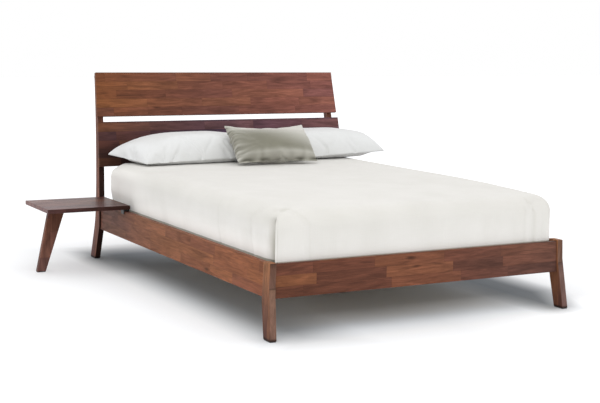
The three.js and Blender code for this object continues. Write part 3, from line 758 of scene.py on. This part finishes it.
def add_mattress(materials):
    """The mattress: a padded block with softly rounded edges, and piping round its bottom one."""
    low, high = [np.array(c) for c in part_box("mattress")]
    vertices, faces, hem_row, _ = bed_shell(low, high, EDGE_RADIUS + 0.052, low[2] + BOTTOM_ROLL, pleated=False)
    side = smoothstep(high[2] - 0.10, high[2] - 0.20, vertices[:, 2])
    vertices = vertices - vertex_normals(vertices, faces) * (0.003 + (HEM_TUCK + 0.002) * side[:, None])
    ring = vertices[hem_row]
    middle = (low[:2] + high[:2]) / 2
    inward = unit(middle - ring[:, :2])
    count, total = len(vertices), len(hem_row)
    rows = [hem_row, *rows_from(count, len(BOTTOM_RINGS), total)]
    layers = [
        np.column_stack([ring[:, :2] + inset * inward, np.full(total, low[2] + height)])
        for inset, height in BOTTOM_RINGS
    ]
    centre = count + len(BOTTOM_RINGS) * total
    faces += bands_between(rows) + [[rows[-1][c], centre, rows[-1][(c + 1) % total]] for c in range(total)]
    vertices = np.vstack([vertices, *layers, [[*middle, low[2] + 0.0015]]])
    core = new_piece("mattress_core", vertices, faces, "bedding", "ticking", materials["ticking"])
    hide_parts("mattress")
    radius, rise = PIPING
    tube = cord_tube(ring + np.array([0, 0, rise]), radius)
    new_piece("mattress_piping", *tube, "bedding", "ticking", materials["ticking"])


# ---- pillows and cushion


def flat_case(width, depth, cell, loft):
    """Two layers of cloth joined round the edge: vertices and faces, with a slight loft so that they can inflate."""
    across, along = round(width / cell), round(depth / cell)
    vertices, index = [], {}
    for layer in (1, -1):
        for j in range(along + 1):
            for i in range(across + 1):
                if layer < 0 and (i in (0, across) or j in (0, along)):
                    index[layer, i, j] = index[1, i, j]
                    continue
                swell = math.sin(math.pi * i / across) * math.sin(math.pi * j / along)
                index[layer, i, j] = len(vertices)
                vertices.append((width * (i / across - 0.5), depth * (j / along - 0.5), layer * loft * swell**0.5))
    faces = []
    for j in range(along):
        for i in range(across):
            ring = [(i, j), (i + 1, j), (i + 1, j + 1), (i, j + 1)]
            faces += [[index[1, a, b] for a, b in ring], [index[-1, a, b] for a, b in reversed(ring)]]
    return vertices, faces


CLOTH_SOLVER = {
    "quality": 5, "mass": 0.25, "tension_stiffness": 25, "compression_stiffness": 25, "shear_stiffness": 10,
    "bending_stiffness": 0.4, "air_damping": 4, "use_pressure": True, "uniform_pressure_force": 4.0,
}
INFLATE_FRAMES = 20


def inflate(piece):
    """Blows the piece up with the cloth solver and keeps the result as its mesh."""
    cloth = piece.modifiers.new("inflate", "CLOTH")
    for key, value in CLOTH_SOLVER.items():
        setattr(cloth.settings, key, value)
    cloth.settings.effector_weights.gravity = 0
    cloth.point_cache.frame_start = 1
    cloth.point_cache.frame_end = INFLATE_FRAMES
    for step in range(1, INFLATE_FRAMES + 1):
        bpy.context.scene.frame_set(step)
    apply_modifiers(piece)
    bpy.context.scene.frame_set(1)


def stuffed_piece(name, size, material, cell=0.010, keep=0.45):
    """A pillow lying flat about the origin, in a box of the given size. cell is the size of a mesh face, and keep is
    the share that stays of how far the blown-up case pulls its sides in."""
    width, depth = size[0] * 1.06, size[1] * 1.10
    vertices, faces = flat_case(width, depth, cell, 0.012)
    piece = plain_object(name, vertices, faces)
    inflate(piece)
    smoother = piece.modifiers.new("smooth", "SUBSURF")
    smoother.levels = smoother.render_levels = 1
    apply_modifiers(piece)
    points = mesh_points(piece)
    low, high = points.min(0), points.max(0)
    points = (points - (low + high) / 2) / (high - low) * np.array(size)
    write_points(piece, straighten(points, size, keep))
    piece.data.materials.append(material)
    return piece


PILLOW_SIZE = (0.77, 0.39, 0.22)
# Where the pillows' corners lie: front left, front right, back right, back left.
LEFT_PILLOW = [(-0.665, 0.632), (0.045, 0.650), (0.040, 0.990), (-0.776, 0.952)]
RIGHT_PILLOW = [(0.115, 0.650), (0.905, 0.640), (0.885, 0.985), (0.115, 0.990)]


def mesh_points(piece):
    flat = np.zeros(len(piece.data.vertices) * 3)
    piece.data.vertices.foreach_get("co", flat)
    return flat.reshape(-1, 3)


def straighten(points, size, keep):
    """Eases the pulled-in sides of an inflated case: keep is the share of the pull that stays."""
    parts = 24
    for axis, other in ((0, 1), (1, 0)):
        half = size[axis] / 2
        rank = np.clip(np.abs(points[:, other]) / (size[other] / 2), 0, 1)
        bins = np.minimum((rank * parts).astype(int), parts - 1)
        reach = np.array([np.abs(points[bins == b, axis]).max() if (bins == b).any() else half for b in range(parts)])
        reach = np.interp(rank * parts - 0.5, np.arange(parts), reach)
        points[:, axis] *= (keep * reach + (1 - keep) * half) / reach
    return points


def write_points(piece, points):
    piece.data.vertices.foreach_set("co", np.asarray(points, float).ravel())
    piece.data.update()


def add_pillow(name, corners, seam_heights, tilt, flatten, belly, materials):
    """A sleeping pillow that lies on the coverlet. corners are its corners in plan, and seam_heights how high above
    the bed its seam runs at each. tilt is how much fuller its right end is than its middle, flatten how far its crown
    is pressed down, and belly how far in from the seam it comes down to the bed."""
    low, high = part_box(name)
    thickness = high.z - low.z
    width, depth, _ = PILLOW_SIZE
    piece = stuffed_piece(name + "_case", PILLOW_SIZE, materials["pillow"])
    points = mesh_points(piece)
    u, v = points[:, 0] / width + 0.5, points[:, 1] / depth + 0.5
    shares = np.column_stack([(1 - u) * (1 - v), u * (1 - v), u * v, (1 - u) * v])
    plan = shares @ np.array(corners)
    seam = shares @ np.array(seam_heights)
    upper = np.clip(points[:, 2], 0, None) / points[:, 2].max()
    upper = (thickness - seam.mean()) * upper**0.85 * (1 + tilt * (2 * u - 1))
    from_edge = np.minimum(np.minimum(u, 1 - u) * width, np.minimum(v, 1 - v) * depth)
    lower = 0.60 * np.clip(points[:, 2], None, 0) * smoothstep(0.0, belly, from_edge)
    height = seam + upper + lower
    floor = 0.0008
    height = floor + np.logaddexp(0, (height - floor) / 0.004) * 0.004
    ceiling = thickness - 0.0005 - flatten
    height = ceiling - np.logaddexp(0, (ceiling - height) / 0.005) * 0.005
    write_points(piece, np.column_stack([plan, low.z + height]))
    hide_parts(name)
    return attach(piece, name)


def settle(points, size):
    """The cushion's filling settles: full towards the bottom and thin along the top, whose seam dips between the
    ears, with puckers along the seams and a flat lip at the bottom. Returns the points, painted shade and painted
    sheen, as wrinkle does."""
    x, y, z = points.T
    half_x, half_y, half_z = np.array(size) / 2
    u, v = x / half_x, y / half_y
    from_left, from_right, from_bottom = x + half_x, half_x - x, y + half_y
    full = np.sign(z) * half_z * (np.abs(z) / half_z) ** 0.72
    full *= 1 - 0.50 * smoothstep(0.15, 1.0, v)
    full *= 0.10 + 0.90 * smoothstep(0.010, 0.040, from_bottom)
    wander = noise_at(np.column_stack([x, y, np.zeros_like(x)]), (11.0, 11.0, 1.0), 3.0)
    fan = y / 0.043 * (1 + 0.9 * from_left / size[0]) + 0.7 * wander
    left = np.sin(2 * math.pi * fan) * np.exp(-from_left / 0.042) * (0.7 + 0.6 * wander)
    left += 0.6 * np.sin(2 * math.pi * (y / 0.021 + 0.8 * wander)) * np.exp(-from_left / 0.024)
    bottom = np.sin(2 * math.pi * (x / 0.085 + 0.8 * wander)) * np.exp(-from_bottom / 0.035)
    right = np.sin(2 * math.pi * (y / 0.080 + 0.3 * wander)) * np.exp(-from_right / 0.030)
    rise = 1 - np.exp(-np.minimum(np.minimum(from_left, from_right), from_bottom) / 0.006)
    full += np.sign(z) * rise * (0.0052 * left + 0.0030 * bottom + 0.0020 * right)

    # Two creases run in from the top left ear.
    down = half_y - y
    for slope, strength in ((0.55, 0.0060), (1.30, 0.0045)):
        across = (down - slope * from_left) / math.hypot(1, slope)
        from_ear = np.hypot(down, from_left)
        crease = bell(across, 0.010) * np.exp(-from_ear / 0.09) * smoothstep(0.012, 0.050, from_ear)
        full += np.sign(z) * strength * crease * rise
        left += 0.8 * crease
    dipped = y - 0.021 * (1 - u**2) * smoothstep(0.0, 1.0, v)
    waved = 0.985 * x - 0.007 * (1 + v) / 2
    waved += 0.0045 * np.sin(2 * math.pi * y / 0.052) * np.exp(-from_left / 0.02) * (1 - v**2)

    # Painted shade in the puckers' troughs, and in a dark line along the lip at the bottom of the front face.
    lip = bell(from_bottom - 0.018, 0.0060) * (0.60 + 0.40 * np.sin(2 * math.pi * x / 0.11))
    fold = 0.60 * np.clip(-left, 0, 1) + 0.30 * np.clip(-bottom, 0, 1) + 0.80 * lip * (z > 0)
    # Painted sheen and light: towards the top right and along the top, in a band near the bottom, along the left edge,
    # on the puckers' crests and on the strip below the lip.
    bright = 0.85 * smoothstep(-0.20, 0.75, 0.45 * u + 0.60 * v)
    bright += 0.95 * smoothstep(0.50, 0.85, v) * smoothstep(-1.1, -0.3, u)
    bright += 0.52 * bell(v + 0.76, 0.16) * (0.6 + 0.4 * smoothstep(-0.6, 0.2, u))
    bright += 0.22 * np.exp(-from_left / 0.08) + 0.35 * np.clip(left, 0, 1) + 0.15 * np.clip(bottom, 0, 1)
    bright += 0.25 * smoothstep(0.013, 0.005, from_bottom)
    return np.column_stack([waved, dipped, full]), np.clip(fold, 0, 0.9), np.clip(bright, 0, 0.95)


CUSHION_SIZE = (0.502, 0.290, 0.125)
CUSHION_LEAN, CUSHION_TURN = math.radians(43), math.radians(-3.6)


def add_cushion(materials):
    """The lumbar cushion, which leans back on the left pillow."""
    low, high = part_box("lumbar_cushion")
    piece = stuffed_piece("cushion_case", CUSHION_SIZE, materials["satin"], cell=0.007, keep=0.55)
    points, fold, bright = settle(mesh_points(piece), CUSHION_SIZE)
    store(piece, "painted_shade", fold)
    store(piece, "painted_light", bright)
    place = Matrix.Rotation(CUSHION_TURN, 4, "Z") @ Matrix.Rotation(CUSHION_LEAN, 4, "X")
    write_points(piece, points @ np.array(place.to_3x3()).T + np.array((low + high) / 2))
    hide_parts("lumbar_cushion")
    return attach(piece, "lumbar_cushion")


# ---- stage


FLOOR_REACH = 30.0
# Edges of the painted shadow under the bed, and how far its right edge swings out from the foot towards the
# middle of the bed.
SHADED = {"left": -0.80, "right": 0.88, "foot": -1.15, "head": 1.25}
RIGHT_SWING = (-0.035, 0.15)
# The paper's tone in the open, its painted shadow under the middle of the bed and near its sides, and how much its
# grain adds.
FLOOR_TONES = [(0.740, 0.752, 0.768), (0.610, 0.665, 0.735), (0.385, 0.418, 0.452)]
FLOOR_GRAIN = 0.01


def add_floor():
    """A plain pale paper floor that reaches past the view, with a painted shadow under the bed, and an emission
    glow, painted light, that takes it up to white away from it.
    """
    far = FLOOR_REACH
    floor = plain_object("floor", [(-far, -far, 0), (far, -far, 0), (far, far, 0), (-far, far, 0)], [(0, 1, 2, 3)])
    mat = Shader("floor_paper")
    at = mat.place()
    x, y = at["X"], at["Y"]
    grain = mat.noise(at["all"], 180.0)
    open_floor, middle, beside = [
        mat.mix(grain, (*tone, 1.0), (*[c + FLOOR_GRAIN for c in tone], 1.0)) for tone in FLOOR_TONES
    ]
    past_left = mat.minus(SHADED["left"], x)
    past_right = mat.minus(x, SHADED["right"], mat.spread(y, -1.20, -0.80, *RIGHT_SWING))
    past_side = mat.larger(past_left, past_right)
    past_end = mat.larger(mat.minus(SHADED["foot"], y), mat.minus(y, SHADED["head"]))
    past = mat.larger(past_side, past_end)
    # Painted shadows of the head end and of the right front leg.
    at_head = mat.times(mat.spread(y, 0.5, 1.0), mat.fade(y, 1.1, 1.5), mat.fade(past_side, 0.0, 0.15))
    by_leg = mat.times(mat.spread(x, 0.62, 0.80), mat.spread(y, -1.30, -1.15), mat.fade(y, -0.40, 0.10))
    darkest = mat.larger(at_head, mat.times(by_leg, mat.fade(past_right, -0.12, 0.08)))
    colour = mat.mix(mat.spread(past_side, -0.45, -0.10), middle, beside)
    colour = mat.mix(mat.spread(past, -0.12, 0.12), colour, open_floor)
    colour = mat.darken(colour, darkest, 0.45)
    mat.finish(colour, 0.9, mat.bump(grain, 0.1, 0.0003), specular_ior_level=0.1)

    # Painted light: an emission glow that takes the paper to white, a little of it inside the painted shadow's edges,
    # but not beside the left legs.
    clear_of_legs = mat.larger(mat.fade(past_left, -0.45, -0.15), mat.spread(past_end, 0.0, 0.25))
    at_end = mat.times(mat.spread(past_end, -0.40, 0.0, 0.0, 0.18), clear_of_legs)
    at_end = mat.times(at_end, mat.spread(x, 0.1, 0.6, 1.0, 1.8))
    at_side = mat.spread(past_side, -0.18, 0.08, 0.0, 0.17)
    near = mat.times(mat.larger(at_end, at_side), mat.spread(darkest, 0.0, 1.0, 1.0, 0.2))
    mat.surface.inputs["Emission Color"].default_value = (1, 1, 1, 1)
    glow = mat.plus(near, mat.spread(past, 0.0, 0.7, 0.0, 0.15))
    mat.wire(mat.surface.inputs["Emission Strength"], glow)
    floor.data.materials.append(mat.material)


def add_area_light(name, place, aim, size, power):
    lamp = bpy.data.lights.new(name, "AREA")
    lamp.shape = "RECTANGLE"
    lamp.size, lamp.size_y = size
    lamp.energy = power
    holder = add_object(name, lamp)
    holder.location = place
    holder.rotation_euler = (Vector(aim) - Vector(place)).to_track_quat("-Z", "Y").to_euler()


def add_light():
    """A white studio: even light from all round, a broad key from the left front, and a weak fill."""
    world = bpy.data.worlds.new("studio")
    world.use_nodes = True
    backdrop = world.node_tree.nodes["Background"]
    backdrop.inputs["Color"].default_value = (1.0, 1.0, 1.0, 1.0)
    backdrop.inputs["Strength"].default_value = 1.0
    bpy.context.scene.world = world
    add_area_light("key", (-2.6, -4.0, 4.2), (0.0, -0.2, 0.4), (3.0, 2.4), 60)
    add_area_light("overhead", (0.0, -0.5, 4.6), (0.0, 0.0, 0.4), (4.5, 4.5), 16)
    bpy.context.scene.view_settings.view_transform = "Standard"


CAMERA_PLACE = (-3.2213, -5.8273, 1.3034)
CAMERA_YAW, CAMERA_PITCH, CAMERA_ROLL = 0.5004, -0.1311, 0.0150


def add_camera():
    """The camera at the left of the foot, a little above the bed, with a long lens."""
    lens = bpy.data.cameras.new("camera")
    lens.sensor_fit = "HORIZONTAL"
    lens.sensor_width = 36.0
    lens.lens = 74.7
    lens.clip_end = 200.0
    camera = add_object("camera", lens)
    aim = Matrix.Rotation(-CAMERA_YAW, 4, "Z") @ Matrix.Rotation(math.pi / 2 + CAMERA_PITCH, 4, "X")
    camera.matrix_world = Matrix.Translation(CAMERA_PLACE) @ aim @ Matrix.Rotation(CAMERA_ROLL, 4, "Z")
    bpy.context.scene.camera = camera


# ---- assembly

add_camera()
materials = make_materials()
for node_name, node in NODES.items():
    for slot in node.material_slots:
        slot.material = materials[material_for(node_name)]
add_mattress(materials)
add_coverlet(materials)
add_pillow("pillow_left", LEFT_PILLOW, (0.012, 0.028, 0.060, 0.043), 0.05, 0.004, 0.12, materials)
add_pillow("pillow_right", RIGHT_PILLOW, (0.000, 0.038, 0.060, 0.058), 0.0, 0.0, 0.15, materials)
add_cushion(materials)
add_floor()
add_light()
